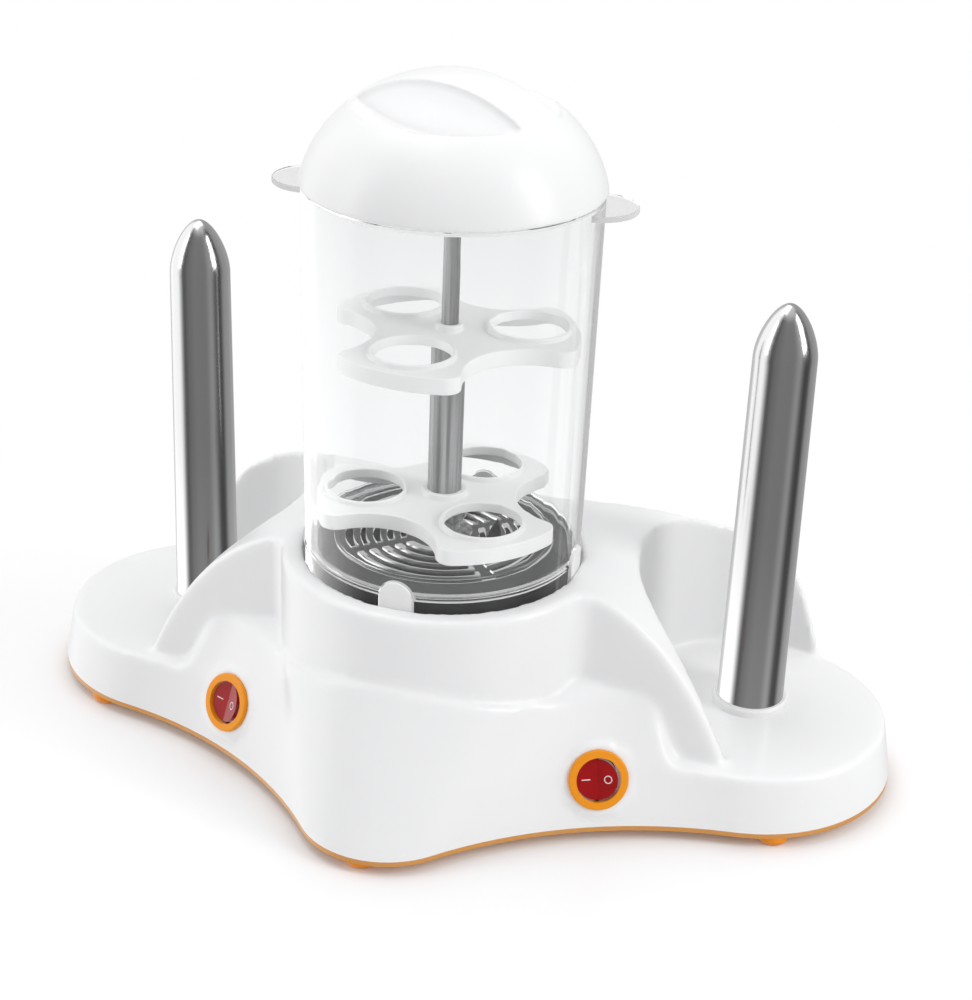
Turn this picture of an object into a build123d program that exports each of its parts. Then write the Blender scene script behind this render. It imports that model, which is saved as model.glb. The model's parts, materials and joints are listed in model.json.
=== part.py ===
"""Countertop cooker with two heated bun spikes and a steaming tower between them.

+Z is up and the controls face -Y. The origin is under the tower's axis, on the surface
that the feet stand on. Every length is in millimetres.
"""

import os
from math import acos, atan2, cos, degrees, radians, sin, tan

from build123d import *

# Levels above the table
foot_height = 4.2
cover_thickness = 2.0
cover_top = foot_height + cover_thickness
lobe_top = 28.0
shelf_top = 51.0
shelf_join = 64.0
collar_top = 92.0
container_bottom = 81.0
grate_seat = 96.3
container_top = 237.0

# Walls of the moulded housing
wall = 2.5
overrun = 5.0
fit_gap = 0.3
running_gap = 0.05

# Container tube and its slotted floor
tube_radius_low = 53.2
tube_flare = 1.8
tube_radius_top = tube_radius_low + tube_flare
tube_wall = 1.9
tube_bead = 0.6
tube_bead_height = 2.0
tube_ledge = 2.2
tube_ledge_height = 1.4
notch_gap = 0.4
ear_overhang = 12.5
ear_reach = tube_radius_top + ear_overhang
ear_half_width = 15.0
ear_thickness = 2.2
ear_drop = 1.7
ear_turn = 5.8
ear_round = 0.6
grate_thickness = 2.2
grate_rim = 1.2
grate_rim_inset = 11.7
grate_slot_width = 2.6
grate_slot_pitch = 5.2
grate_slot_first = 14.0
grate_slot_count = 5
grate_bar_width = 5.0

# Collar, its well for the container and the lugs on the well's edge
well_gap = 0.8
well_radius = tube_radius_low + well_gap
well_wall = 2.5
well_floor = 78.0
well_seat = 80.7
well_joint = 84.0
well_seat_step = 3.6
well_seat_radius = well_radius - well_seat_step
well_throat_step = 5.4
well_throat = well_seat_radius - well_throat_step
collar_width = 8.3
collar_radius = well_radius + collar_width
collar_round = 2.0
lug_width = 12.5
lug_thickness = 2.4
lug_top = 102.0
lug_count = 4

# Plan of the base: two round lobes, a nose in front and a shallow dip behind
nose_radius = 34.0
nose_back = 58.0
nose_flare = 2.0
nose_radius_high = collar_radius + nose_flare
waist_radius = 166.0
waist_radius_high = 45.0
dip_flare = 5.9
dip_draft = 14.8
dip_depth = 9.0
dip_y_high = collar_radius + dip_flare
dip_y = dip_y_high + dip_draft
lobe_radius = 58.5
lobe_draft = 10.0
lobe_radius_high = lobe_radius - lobe_draft
cove_inset = 0.5
cove_gap = 8.8
cove_radius = lobe_radius_high - cove_inset
lobe_x = collar_radius + cove_gap + cove_radius
lobe_y = dip_y + dip_depth - lobe_radius
trim_radius = 110.0
trim_waist_radius = 40.0

# Shelf in front of the collar, and the fall from it to the lobes
shelf_flat_inset = 53.1
shelf_fall_inset = 33.1
shelf_foot_inset = 13.1
shelf_flat_x = lobe_x - shelf_flat_inset
shelf_fall_x = lobe_x - shelf_fall_inset
shelf_foot_x = lobe_x - shelf_foot_inset
shelf_outer_y = 30.0
shelf_inner_y = 14.0
shelf_ridge_z = 63.0
shelf_ease_shares = (0.5, 0.75)
shelf_inner_z = 56.0
shelf_inner_fall_z = 52.0

# Wings that run from the collar round the bun spaces
wing_front_y = 15.5
wing_corner = 9.0
wing_flat_inset = 61.1
wing_flat_x = lobe_x - wing_flat_inset
wing_front_reach = 3.9
wing_back_reach = 21.9
wing_foot_z = 20.0
wing_blend_front = 20.0
wing_blend_back = 56.0
wing_front_shares = ((0.37, 0.045), (0.77, 0.39))
wing_back_shares = ((0.41, 0.0), (0.82, 0.27))

# Spikes
spike_offset = 4.6
spike_y = lobe_y + spike_offset
spike_radius = 13.2
spike_radius_top = 12.1
spike_top = 196.9
spike_nose = 22.0
spike_nose_shares = (0.41, 0.45)
spike_wall = 0.8
spike_ring_width = 1.6
spike_ring_radius = spike_radius + spike_ring_width
spike_ring_height = 3.5
spike_ring_lip = 1.2
spike_stud_radius = 8.0
spike_stud_length = 14.0
spike_nut_flats = 22.0
spike_nut_height = 5.0
spike_core_radius = 6.0
spike_core_length = 120.0
spike_core_foot = 3.0
spike_wire_bore = 5.0

# Rocker switches on the front walls
switch_inset = 43.1
switch_x = lobe_x - switch_inset
switch_z = 24.0
switch_lean = 20.0
barrel_radius = 10.0
barrel_wall = 1.4
barrel_bore = barrel_radius - barrel_wall
barrel_depth = 7.0
bezel_flange = 1.6
bezel_radius = barrel_radius + bezel_flange
pad_margin = 2.4
pad_radius = bezel_radius + pad_margin
pad_proud = 1.0
rocker_gap = 0.7
rocker_radius = barrel_bore - rocker_gap
rocker_pivot_depth = 2.0
rocker_rim = 2.2
rocker_valley = 0.6
rocker_depth = 5.0
rocker_foot_inset = 1.7
rocker_foot = rocker_radius - rocker_foot_inset
rocker_tilt = 8.0
rocker_pin_radius = 1.0
rocker_pin_reach = barrel_bore + rocker_gap
switch_body_depth = 19.0
blade_width = 4.8
blade_thickness = 0.8
blade_length = 7.0
blade_pitch = 7.0

# Egg rack
tray_gap = 2.0
tray_radius = tube_radius_low - tube_wall - tray_gap
tray_waist_depth = 21.8
tray_waist = tray_radius - tray_waist_depth
tray_waist_radius = 24.7
tray_height = 6.3
tray_skin = 2.0
tray_rim = 1.8
tray_corner = 6.0
tray_seats = 3
lower_tray_z = 109.0
upper_tray_z = 176.0
lower_tray_turn = -43.0
upper_tray_turn = -97.0
seat_edge = 4.8
seat_bridge = 6.8
seat_rib_height = 2.0
seat_rib_width = 1.4
tray_hub_height = 9.0
tray_hub_wall = 2.2
stem_shoulder = 2.5
stem_radius = 6.5
seat_near = stem_radius + tray_hub_wall + seat_bridge
seat_far = tray_radius - seat_edge
seat_offset = (seat_far + seat_near) / 2
seat_hole_radius = (seat_far - seat_near) / 2
stem_radius_top = 3.0
stem_top = 231.0
stem_foot_radius = 11.0
stem_foot_height = 2.4

# Lid: a shallow dome with a bar handle left between two scoops
dome_overhang = 1.6
dome_radius = tube_radius_top + dome_overhang
dome_height = 48.4
dome_centre_z = 229.9
lid_wall = 2.4
lid_skirt_depth = 2.5
lid_skirt_wall = 2.0
scoop_inset = 18.6
scoop_radius = dome_radius - scoop_inset
scoop_depth = 8.5
scoop_shares = (0.62, 0.24)
handle_half_width = 12.0
handle_turn = -15.0

# Heating parts under the container
dish_gap = 0.6
dish_radius = well_seat_radius - dish_gap
dish_height = 14.6
dish_wall = 2.2
gasket_thickness = 1.6
gasket_gap = 0.8
gasket_radius = well_seat_radius - gasket_gap
gasket_bore_gap = 0.6
gasket_bore = well_throat + gasket_bore_gap
element_inset = 12.0
element_radius = well_throat - element_inset
element_tube_radius = 3.2
element_gap_angle = 50.0
element_leg = 14.0
thermostat_radius = 8.5
thermostat_height = 9.0
fuse_radius = 2.6
fuse_length = 16.0
fuse_offset = (element_radius - element_tube_radius + thermostat_radius) / 2
shield_gap = 2.0
shield_radius = well_throat - shield_gap
shield_thickness = 0.8
shield_height = 24.0
shield_flange = 8.0
shield_hole_radius = 14.0

# Feet, cover and their screws, placed round each lobe by inset and direction
foot_radius = 6.5
foot_neck_radius = 3.5
foot_round = 2.6
nose_foot_reach = 26.0
side_foot_inset = 6.5
side_foot_angle = -65.0
back_foot_inset = 15.4
back_foot_angle = 99.5
screw_seat = 1.0
screw_head_radius = 3.2
screw_head_height = 2.0
screw_radius = 1.5
screw_length = 12.0
nose_screw_inset = 2.3
side_screw_inset = 19.7
side_screw_angle = -37.3
back_screw_inset = 13.0
back_screw_angle = 126.6
boss_radius = 4.2
boss_top = 60.0
rib_height = 4.0
rib_wall = 1.8
vent_width = 2.6
vent_length = 26.0
vent_pitch = 6.0
vent_count = 7
vent_x = 60.0

# Cord grommet, held in a notch between the housing's back wall and the cover
grommet_z = 15.0
grommet_bore = 3.6
grommet_width = 14.0
grommet_height = 12.0
grommet_lip = 2.4
grommet_flange = 2.2
grommet_back = 2.0
grommet_pad = 1.4
grommet_corner = 1.5

# Terminal block on the cover
block_length = 34.0
block_width = 16.0
block_height = 14.0
block_inset = 27.0
block_ways = 4
block_pocket = 4.6


def arc_towards(start, end, centre, radius):
    """Arc from start to end that bulges away from or round a centre on its short side."""
    middle = (start - centre) + (end - centre)
    return ThreePointArc(start, centre + middle.normalized() * radius, end)


def touching_centre(first, first_radius, second, second_radius, radius, side):
    """Centre of the circle that touches two others from outside, on the side given."""
    near, far = first_radius + radius, second_radius + radius
    apart = (second - first).length
    along = (near**2 - far**2 + apart**2) / (2 * apart)
    across = (near**2 - along**2) ** 0.5
    ahead = (second - first).normalized()
    return first + ahead * along + Vector(-ahead.Y, ahead.X) * across * side


def flipped(point):
    """The same place on the object's other side."""
    return Vector(-point.X, point.Y, point.Z)


def plan_wire(nose_y, nose_r, lobe_r, waist_r, back_y, z):
    """Closed plan: nose, waist, lobe and dip, each arc tangent to the next."""
    nose, lobe = Vector(0, -nose_y), Vector(lobe_x, lobe_y)
    waist = touching_centre(nose, nose_r, lobe, lobe_r, waist_r, -1)
    half_gap = (lobe_x**2 - lobe_r**2 + (back_y - lobe_y) ** 2) / 2
    back_r = half_gap / (lobe_r - (back_y - lobe_y))
    back = Vector(0, back_y + back_r)
    nose_end = nose + (waist - nose).normalized() * nose_r
    lobe_start = lobe + (waist - lobe).normalized() * lobe_r
    lobe_side = lobe + Vector(lobe_r, 0)
    lobe_end = lobe + (back - lobe).normalized() * lobe_r
    tip = nose - Vector(0, nose_r)
    right = [
        arc_towards(tip, nose_end, nose, nose_r),
        arc_towards(nose_end, lobe_start, waist, waist_r),
        arc_towards(lobe_start, lobe_side, lobe, lobe_r),
        arc_towards(lobe_side, lobe_end, lobe, lobe_r),
        arc_towards(lobe_end, Vector(0, back_y), back, back_r),
    ]
    left = [
        arc_towards(Vector(0, back_y), flipped(lobe_end), back, back_r),
        arc_towards(flipped(lobe_end), flipped(lobe_side), flipped(lobe), lobe_r),
        arc_towards(flipped(lobe_side), flipped(lobe_start), flipped(lobe), lobe_r),
        arc_towards(flipped(lobe_start), flipped(nose_end), flipped(waist), waist_r),
        arc_towards(flipped(nose_end), tip, nose, nose_r),
    ]
    return Pos(0, 0, z) * Wire(right + left)


def rise_share(z):
    """How far a level lies between the cover's top and the collar's junction."""
    return (z - cover_top) / (shelf_join - cover_top)


def between(low, high, z):
    """A size of the drafted walls at a level, from its values at the two ends."""
    return low + (high - low) * rise_share(z)


def base_section(z, inset=0.0):
    """Plan of the base's outer wall, or of its inner face, at a level."""
    return plan_wire(
        between(nose_back, 0.0, z),
        between(nose_radius, nose_radius_high, z) - inset,
        between(lobe_radius, lobe_radius_high, z) - inset,
        between(waist_radius, waist_radius_high, z) + inset,
        between(dip_y, dip_y_high, z) - inset,
        z,
    )


def trim_section(z, inset=0.0):
    """The same lobes and dip with the front pushed far out, to trim the wings."""
    return plan_wire(
        0.0,
        trim_radius,
        between(lobe_radius, lobe_radius_high, z) - inset,
        trim_waist_radius,
        between(dip_y, dip_y_high, z) - inset,
        z,
    )


def xz_face(points_and_edges, y):
    """Upright face at a distance in front of the tower, from edges in X and Z."""
    return Pos(0, -y, 0) * Wire(points_and_edges)


def curve_xz(*places):
    """Bezier curve through places given as X and Z."""
    return Bezier(*[Vector(x, 0, z) for x, z in places])


def line_xz(start, end):
    """Straight edge between places given as X and Z."""
    return Line(Vector(start[0], 0, start[1]), Vector(end[0], 0, end[1]))


def mirrored_profile(right, low):
    """Closed profile from the edges of its right half, which start on the axis."""
    far = right[-1] @ 1
    down = Line(far, Vector(far.X, 0, low))
    floor = Line(Vector(far.X, 0, low), Vector(-far.X, 0, low))
    half = right + [down]
    left = [edge.mirror(Plane.YZ) for edge in reversed(half)]
    return half + [floor] + left


def shelf_section(y, ridge_z, flat_z, fall_z, inset):
    """Profile of the shelf across the front, falling in an S to the lobes."""
    reach = lobe_x + lobe_radius + overrun
    fall_x, foot_x = shelf_fall_x - inset, shelf_foot_x - inset
    half_fall = (foot_x - fall_x) / 2
    sink = (flat_z - fall_z) / (shelf_fall_x - shelf_flat_x)
    flat_x = shelf_flat_x - inset
    near_x = flat_x * (1 - shelf_ease_shares[1])
    low = lobe_top - inset
    right = [
        curve_xz(
            (0, ridge_z - inset),
            (flat_x * shelf_ease_shares[0], ridge_z - inset),
            (flat_x * shelf_ease_shares[1], flat_z - inset + sink * near_x),
            (flat_x, flat_z - inset),
        ),
        line_xz((flat_x, flat_z - inset), (fall_x, fall_z - inset)),
        curve_xz(
            (fall_x, fall_z - inset),
            (fall_x + half_fall, fall_z - inset - sink * half_fall),
            (foot_x - half_fall, low),
            (foot_x, low),
        ),
        line_xz((foot_x, low), (reach, low)),
    ]
    return xz_face(mirrored_profile(right, -overrun), y)


def front_terrain(inset=0.0):
    """Everything below the shelf and the lobes' floor."""
    outer = (shelf_ridge_z, shelf_top, shelf_top, inset)
    inner = (shelf_join, shelf_inner_z, shelf_inner_fall_z, inset)
    front = nose_back + nose_radius + overrun
    shelf = Solid.make_loft(
        [
            shelf_section(front, *outer),
            shelf_section(shelf_outer_y, *outer),
            shelf_section(shelf_inner_y, *inner),
            shelf_section(0, *inner),
        ],
        ruled=True,
    )
    reach = lobe_x + lobe_radius + overrun
    depth = lobe_y + lobe_radius + overrun
    slab_height = lobe_top - inset + overrun
    slab = Pos(0, depth / 2, slab_height / 2 - overrun) * Box(
        2 * reach, depth, slab_height
    )
    return shelf + slab


def wing_section(y, tip_x, shares, inset):
    """Profile of the wings: flat beside the collar, then a convex fall to the tip."""
    top, low = collar_top - inset, wing_foot_z
    run, drop = tip_x - inset - wing_flat_x, top - low
    controls = [(wing_flat_x + run * x, top - drop * z) for x, z in shares]
    right = [
        line_xz((0, top), (wing_flat_x, top)),
        curve_xz((wing_flat_x, top), *controls, (wing_flat_x + run, low)),
    ]
    left = [edge.mirror(Plane.YZ) for edge in reversed(right)]
    far = wing_flat_x + run
    floor = line_xz((far, low), (-far, low))
    return xz_face(right + [floor] + left, y)


def wing_terrain(inset=0.0):
    """Everything below the tops of the wings."""
    front = (lobe_x + wing_front_reach, wing_front_shares, inset)
    back = (lobe_x + wing_back_reach, wing_back_shares, inset)
    return Solid.make_loft(
        [
            wing_section(collar_radius + overrun, *front),
            wing_section(-wing_blend_front, *front),
            wing_section(-wing_blend_back, *back),
            wing_section(-(lobe_y + lobe_radius + overrun), *back),
        ],
        ruled=True,
    )


def upper_plan(inset=0.0):
    """Plan of the collar and wings, with a round corner where they meet in front."""
    radius, corner = collar_radius - inset, wing_corner + inset
    front = -wing_front_y + inset
    corner_y = front - corner
    corner_x = ((radius + corner) ** 2 - corner_y**2) ** 0.5
    corner_centre = Vector(corner_x, corner_y)
    touch = corner_centre * (radius / (radius + corner))
    wall_start = Vector(corner_x, front)
    reach = lobe_x + lobe_radius
    far = Vector(reach, front)
    back = Vector(reach, lobe_y + lobe_radius + overrun)
    edges = [
        ThreePointArc(flipped(touch), Vector(0, -radius), touch),
        arc_towards(touch, wall_start, corner_centre, corner),
        Line(wall_start, far),
        Line(far, back),
        Line(back, flipped(back)),
        Line(flipped(back), flipped(far)),
        Line(flipped(far), flipped(wall_start)),
        arc_towards(flipped(wall_start), flipped(touch), flipped(corner_centre), corner),
    ]
    return Face(Wire(edges))


def upper_body(inset=0.0):
    """Collar and wings above the lobes' floor."""
    low, high = lobe_top - inset, collar_top + overrun
    plan = Pos(0, 0, low) * extrude(upper_plan(inset), high - low)
    trim = Solid.make_loft([trim_section(low, inset), trim_section(high, inset)], ruled=True)
    return plan & wing_terrain(inset) & trim


def lower_body(inset=0.0, low=cover_top):
    """Drafted base under the shelf and the lobes' floor."""
    middle = lobe_top - inset
    sections = [base_section(z, inset) for z in (low, middle, shelf_join + overrun)]
    return Solid.make_loft(sections, ruled=True) & front_terrain(inset)


def bun_space(side, inset=0.0):
    """Round space for a bun beside a spike, above the lobe's floor."""
    low = lobe_top - inset
    return upright(cove_radius + inset, low, collar_top + overrun, side * lobe_x, spike_y)


def upright(radius, low, high, x=0.0, y=0.0):
    """Upright round bar between two levels."""
    return Pos(x, y, (low + high) / 2) * Cylinder(radius, high - low)


def upright_ring(outer, inner, low, high, x=0.0, y=0.0):
    """Upright ring between two levels."""
    bore = upright(inner, low - overrun, high + overrun, x, y)
    return upright(outer, low, high, x, y) - bore


def turned(places):
    """Solid of revolution about the tower's axis from a closed outline in R and Z."""
    corners = [(radius, z) for radius, z in places]
    return revolve(Plane.XZ * make_face(Polyline(*corners, close=True)), Axis.Z)


def waist_place(x, z):
    """Point on the front wall at a distance to the right, with the wall's turn there."""
    nose = Vector(0, -between(nose_back, 0.0, z))
    waist_r = between(waist_radius, waist_radius_high, z)
    waist = touching_centre(
        nose,
        between(nose_radius, nose_radius_high, z),
        Vector(lobe_x, lobe_y),
        between(lobe_radius, lobe_radius_high, z),
        waist_r,
        -1,
    )
    across = x - waist.X
    y = waist.Y + (waist_r**2 - across**2) ** 0.5
    return Vector(x, y, z), degrees(atan2(waist.X - x, y - waist.Y))


def switch_plane(side):
    """Plane on a front wall: Z points out of it and X runs level to the viewer's right."""
    place, turn = waist_place(switch_x, switch_z)
    turn_angle, lean = radians(turn), radians(switch_lean)
    out = Vector(
        side * sin(turn_angle) * cos(lean), -cos(turn_angle) * cos(lean), sin(lean)
    )
    level = Vector(cos(turn_angle), side * sin(turn_angle), 0)
    origin = Vector(side * place.X, place.Y, place.Z)
    return Plane(origin=origin, x_dir=level, z_dir=out)


def round_lobes(inset, angle):
    """Mirrored places near the edges of both lobes, in a direction from their centres."""
    reach, turn = lobe_radius - inset, radians(angle)
    x, y = lobe_x + reach * cos(turn), lobe_y + reach * sin(turn)
    return [(-x, y), (x, y)]


def screw_places():
    """Where the cover's screws go up into the housing's bosses."""
    sides = round_lobes(side_screw_inset, side_screw_angle)
    backs = round_lobes(back_screw_inset, back_screw_angle)
    return [(0, nose_screw_inset - nose_radius_high)] + sides + backs


def foot_places():
    """Where the feet plug into the cover."""
    sides = round_lobes(side_foot_inset, side_foot_angle)
    backs = round_lobes(back_foot_inset, back_foot_angle)
    return [(0, -nose_back - nose_foot_reach)] + sides + backs


def lug():
    """One arch-topped lug on the front of the well's edge."""
    half = lug_width / 2
    shoulder, low = lug_top - half, well_seat
    outline = make_face(
        [
            Line((-half, low), (half, low)),
            Line((half, low), (half, shoulder)),
            ThreePointArc((half, shoulder), (0, lug_top), (-half, shoulder)),
            Line((-half, shoulder), (-half, low)),
        ]
    )
    depth = well_radius + lug_thickness
    block = Plane.XZ * extrude(outline, depth)
    return block & upright_ring(well_radius, well_radius - lug_thickness, low, lug_top)


def collar_front_edge(solid):
    """Long round edge of the collar's top, in front of the wings."""
    low, high = collar_top - running_gap, collar_top + running_gap
    level = solid.edges().filter_by_position(Axis.Z, low, high)
    return level.filter_by(GeomType.CIRCLE).sort_by(SortBy.LENGTH)[-1]


def housing_shell():
    """Top housing: a moulded shell with lobes, shelf, wings, collar and bosses."""
    outside = lower_body() + upper_body()
    for side in (-1, 1):
        outside -= bun_space(side)
    outside = fillet(collar_front_edge(outside), collar_round)
    for side in (-1, 1):
        pad = Pos(0, 0, (pad_proud - pad_radius) / 2) * Cylinder(pad_radius, pad_proud + pad_radius)
        outside += switch_plane(side) * pad
    outside += grommet_block(grommet_lip + grommet_pad, dip_y - 4 * wall, dip_y, cover_top)
    cavity = lower_body(wall, cover_top - overrun) + upper_body(wall)
    for side in (-1, 1):
        cavity -= bun_space(side, wall)
    cavity -= upright(well_radius + well_wall, well_joint, collar_top)
    for x, y in screw_places():
        cavity -= upright(boss_radius, cover_top, boss_top, x, y)
    shell = outside - cavity
    shell -= upright(well_radius, well_floor, collar_top + overrun)
    for side in (-1, 1):
        shell -= switch_plane(side) * Cylinder(barrel_radius + running_gap, 4 * pad_radius)
        shell -= upright(
            spike_stud_radius + running_gap,
            lobe_top - wall - overrun,
            lobe_top + overrun,
            side * lobe_x,
            spike_y,
        )
    for x, y in screw_places():
        shell -= upright(screw_radius, cover_top - overrun, cover_top + screw_length, x, y)
    return shell - grommet_block(0, dip_y - 8 * wall, dip_y + overrun, cover_top - overrun)


def container_seat():
    """Ring under the collar that carries the pan, with four lugs for the container."""
    low = well_floor - well_wall
    outer = well_radius + well_wall
    seat = turned(
        [
            (well_throat, low),
            (outer, low),
            (outer, well_joint),
            (well_radius, well_joint),
            (well_radius, well_seat),
            (well_seat_radius, well_seat),
            (well_seat_radius, well_floor),
            (well_throat, well_floor),
        ]
    )
    for turn in range(lug_count):
        seat += Rot(0, 0, turn * 360 / lug_count) * lug()
    return seat


def grommet_block(margin, near, far, low):
    """Upright block on the cord's line between two depths, from a level up."""
    top = grommet_z + grommet_height / 2 + margin
    half = grommet_width / 2 + margin
    block = Pos(0, (near + far) / 2, (low + top) / 2) * Box(2 * half, far - near, top - low)
    return fillet(block.edges().filter_by(Axis.Y).group_by(Axis.Z)[-1], grommet_corner)


def base_cover():
    """Flat cover with a locating rib, foot sockets, screw seats and vents."""
    plate = extrude(Face(base_section(cover_top)), -cover_thickness)
    rib_top = cover_top + rib_height
    inset = wall + fit_gap
    outer = Pos(0, 0, cover_top - rib_top) * Face(base_section(rib_top, inset))
    inner = Pos(0, 0, cover_top - rib_top) * Face(base_section(rib_top, inset + rib_wall))
    cover = plate + extrude(outer - inner, rib_height)
    for x, y in foot_places():
        cover -= upright(foot_neck_radius, 0, cover_top + overrun, x, y)
    for x, y in screw_places():
        cover -= upright(boss_radius + fit_gap, cover_top, cover_top + overrun, x, y)
        cover -= upright(screw_radius + fit_gap, 0, cover_top + overrun, x, y)
        cover -= upright(screw_head_radius + fit_gap, 0, foot_height + screw_seat, x, y)
    cover -= grommet_block(grommet_lip + fit_gap, dip_y - 8 * wall, dip_y + overrun, cover_top)
    slot = extrude(SlotOverall(vent_length, vent_width), cover_thickness + overrun)
    for side in (-1, 1):
        for step in range(vent_count):
            across = (step - (vent_count - 1) / 2) * vent_pitch
            place = Pos(side * vent_x + across, 0, foot_height - overrun / 2)
            cover -= place * Rot(0, 0, 90) * slot
    return cover


def feet():
    """Round feet with necks that plug into the cover."""
    pad = upright(foot_radius, 0, foot_height)
    pad = fillet(pad.edges().sort_by(Axis.Z)[0], foot_round)
    foot = pad + upright(foot_neck_radius, foot_height, cover_top)
    return Compound([Pos(x, y, 0) * foot for x, y in foot_places()])


def cover_screws():
    """Screws that hold the cover to the housing."""
    seat = foot_height + screw_seat
    head = upright(screw_head_radius, seat - screw_head_height, seat)
    shank = upright(screw_radius, seat, cover_top + screw_length - screw_radius)
    return Compound([Pos(x, y, 0) * (head + shank) for x, y in screw_places()])


def heating_dish():
    """Coated metal pan that boils the water for steam."""
    low = well_floor + gasket_thickness
    high = low + dish_height
    inner = dish_radius - dish_wall
    return turned(
        [
            (0, low),
            (dish_radius, low),
            (dish_radius, high),
            (inner, high),
            (inner, low + 2 * dish_wall),
            (inner - dish_wall, low + dish_wall),
            (0, low + dish_wall),
        ]
    )


def ring_heater():
    """Open ring of heating tube under the pan, with its two cold ends turned down."""
    z = well_floor + gasket_thickness - element_tube_radius - running_gap
    half_gap = radians(element_gap_angle / 2)
    start = Vector(-element_radius * sin(half_gap), element_radius * cos(half_gap), z)
    end = flipped(start)
    path = ThreePointArc(start, Vector(0, -element_radius, z), end)
    section = Plane(origin=start, z_dir=path % 0) * Circle(element_tube_radius)
    ring = sweep(section, path=path)
    low = z - element_leg
    for place in (start, end):
        ring += upright(element_tube_radius, low, z, place.X, place.Y)
    for place in (start, end):
        ring += Pos(place.X, place.Y, z) * Sphere(element_tube_radius)
    return ring


def heat_shield():
    """Pressed cup under the ring heater, hung from the well's floor by its flange."""
    top = well_floor - well_wall
    low = top - shield_height
    inner = shield_radius - shield_thickness
    return turned(
        [
            (shield_hole_radius, low),
            (shield_radius, low),
            (shield_radius, top - shield_thickness),
            (shield_radius + shield_flange, top - shield_thickness),
            (shield_radius + shield_flange, top),
            (inner, top),
            (inner, low + shield_thickness),
            (shield_hole_radius, low + shield_thickness),
        ]
    )


def spike_profile(inset=0.0):
    """Half outline of a spike: a slight taper that closes in a blunt ogive."""
    shoulder = spike_top - spike_nose
    top = spike_top - inset
    side_low = Vector(spike_radius - inset, lobe_top + inset)
    side_high = Vector(spike_radius_top - inset, shoulder)
    nose = Bezier(
        side_high,
        side_high + Vector(0, spike_nose_shares[0] * spike_nose),
        Vector(spike_nose_shares[1] * spike_radius_top, top),
        Vector(0, top),
    )
    return make_face(
        [
            Line(side_low, side_high),
            nose,
            Line(Vector(0, top), Vector(0, side_low.Y)),
            Line(Vector(0, side_low.Y), side_low),
        ]
    )


def spike():
    """Polished hollow spike with a hollow stud below for its nut and wires."""
    skin = revolve(Plane.XZ * spike_profile(), Axis.Z)
    hollow = revolve(Plane.XZ * spike_profile(spike_wall), Axis.Z)
    low = lobe_top - spike_stud_length
    stud = upright(spike_stud_radius, low, lobe_top)
    return skin - hollow + stud - upright(spike_wire_bore, low - overrun, lobe_top + overrun)


def spike_core():
    """Heater cartridge that stands inside a spike."""
    low = lobe_top + spike_wall
    foot = upright(spike_radius_top - spike_wall - fit_gap, low, low + spike_core_foot)
    return foot + upright(spike_core_radius, low, low + spike_core_length)


def spike_ring():
    """Moulded ring round the foot of a spike."""
    bore = spike_radius + running_gap
    high = lobe_top + spike_ring_height
    return turned(
        [
            (bore, lobe_top),
            (spike_ring_radius, lobe_top),
            (spike_ring_radius, high - spike_ring_lip),
            (spike_ring_radius - spike_ring_lip / 2, high),
            (bore, high),
        ]
    )


def spike_nut():
    """Hexagon nut under the lobe's floor."""
    high = lobe_top - wall
    low = high - spike_nut_height
    across = spike_nut_flats / 2
    hexagon = extrude(RegularPolygon(across, 6, major_radius=False), spike_nut_height)
    return Pos(0, 0, low) * hexagon - upright(spike_stud_radius, low - overrun, high + overrun)


def switch_bezel():
    """Orange collar of a rocker switch, with the barrel that plugs into the wall."""
    face = pad_proud
    top = face + bezel_flange
    flange = upright(bezel_radius, face, top)
    flange = fillet(flange.edges().group_by(Axis.Z)[-1], bezel_flange / 2)
    barrel = upright(barrel_radius, -barrel_depth, face + bezel_flange / 2)
    bezel = flange + barrel
    bezel -= upright(barrel_bore, -barrel_depth - overrun, top + overrun)
    pin_hole = Plane(origin=(0, 0, -rocker_pivot_depth), z_dir=(0, 1, 0)) * Cylinder(
        rocker_pin_radius + running_gap, 2 * (rocker_pin_reach + running_gap)
    )
    return bezel - pin_hole


def rocker():
    """Round rocker with a shallow valley across its face and pins at its sides."""
    outline = make_face(
        Polyline(
            (-rocker_radius, rocker_rim),
            (0, rocker_valley),
            (rocker_radius, rocker_rim),
            (rocker_foot, rocker_rim - rocker_depth),
            (-rocker_foot, rocker_rim - rocker_depth),
            close=True,
        )
    )
    key = Plane.XZ * extrude(outline, rocker_radius, both=True)
    key &= Cylinder(rocker_radius, 4 * rocker_depth)
    pin = Plane(origin=(0, 0, -rocker_pivot_depth), z_dir=(0, 1, 0)) * Cylinder(
        rocker_pin_radius, 2 * rocker_pin_reach
    )
    lift = Pos(0, 0, -rocker_pivot_depth)
    return lift * Rot(0, -rocker_tilt, 0) * Pos(0, 0, rocker_pivot_depth) * (key + pin)


def switch_body():
    """Case and blades of a rocker switch, behind the wall."""
    top = -barrel_depth
    low = top - switch_body_depth
    case = upright(barrel_bore, low, top)
    for step in (-1, 0, 1):
        blade = Box(blade_thickness, blade_width, blade_length)
        case += Pos(step * blade_pitch * 2 / 3, 0, low - blade_length / 2) * blade
    return case


def tube_radius(z, inset=0.0):
    """Outer radius of the tapered tube at a level."""
    share = (z - container_bottom) / (container_top - container_bottom)
    return tube_radius_low + (tube_radius_top - tube_radius_low) * share - inset


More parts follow.
